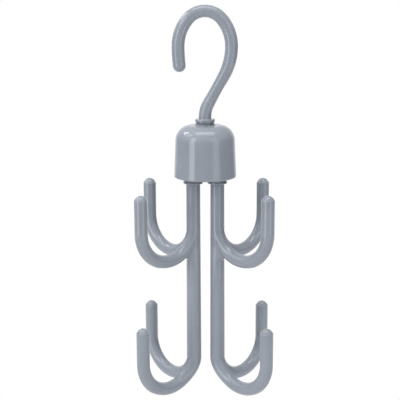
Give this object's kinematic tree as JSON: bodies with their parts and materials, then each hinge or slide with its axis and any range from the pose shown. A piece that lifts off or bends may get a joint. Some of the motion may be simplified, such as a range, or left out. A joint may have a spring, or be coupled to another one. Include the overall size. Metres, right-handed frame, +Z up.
{
  "type": "rotating closet hook",
  "caption": "Hanging hook for a wardrobe rail: a hook that turns in a domed hub, with two hanging arms of J-shaped claws for belts, bags, ties and scarves.",
  "frame": {"origin": "where the rail touches the inside of the top hook's crown, on the axis that the hub turns about", "axes": "+Z up along the turning axis; the top hook lies in the XZ plane with its tip towards -X; the rail lies along Y; the arms hang side by side along X; -Y is the front"},
  "size_m": [0.0917, 0.071, 0.2649],
  "materials": {
    "moulded_plastic": "glossy blue-grey polypropylene",
    "slip_plastic": "satin dark grey nylon",
    "zinc_steel": "bright zinc plate"
  },
  "bodies": {
    "top_hook": {"top_hook": "moulded_plastic", "hook_slip_washer": "slip_plastic", "hook_washer": "zinc_steel", "hook_screw": "zinc_steel"},
    "hub": {"hub_cover": "moulded_plastic", "hub_base": "moulded_plastic", "base_screws": "zinc_steel"},
    "left_arm": {"left_arm": "moulded_plastic", "left_slip_washer": "slip_plastic", "left_washer": "zinc_steel", "left_screw": "zinc_steel"},
    "right_arm": {"right_arm": "moulded_plastic", "right_slip_washer": "slip_plastic", "right_washer": "zinc_steel", "right_screw": "zinc_steel"}
  },
  "joints": [
    {"name": "hub_swivel", "type": "hinge", "parent": "top_hook", "child": "hub", "pos_m": [0, 0, -0.07028], "axis": [0, 0, 1], "continuous": true},
    {"name": "left_arm_swivel", "type": "hinge", "parent": "hub", "child": "left_arm", "pos_m": [-0.00817, 0, -0.10783], "axis": [0, 0, 1], "range_deg": [-48, 48]},
    {"name": "right_arm_swivel", "type": "hinge", "parent": "hub", "child": "right_arm", "pos_m": [0.00817, 0, -0.10783], "axis": [0, 0, 1], "range_deg": [-48, 48]}
  ]
}
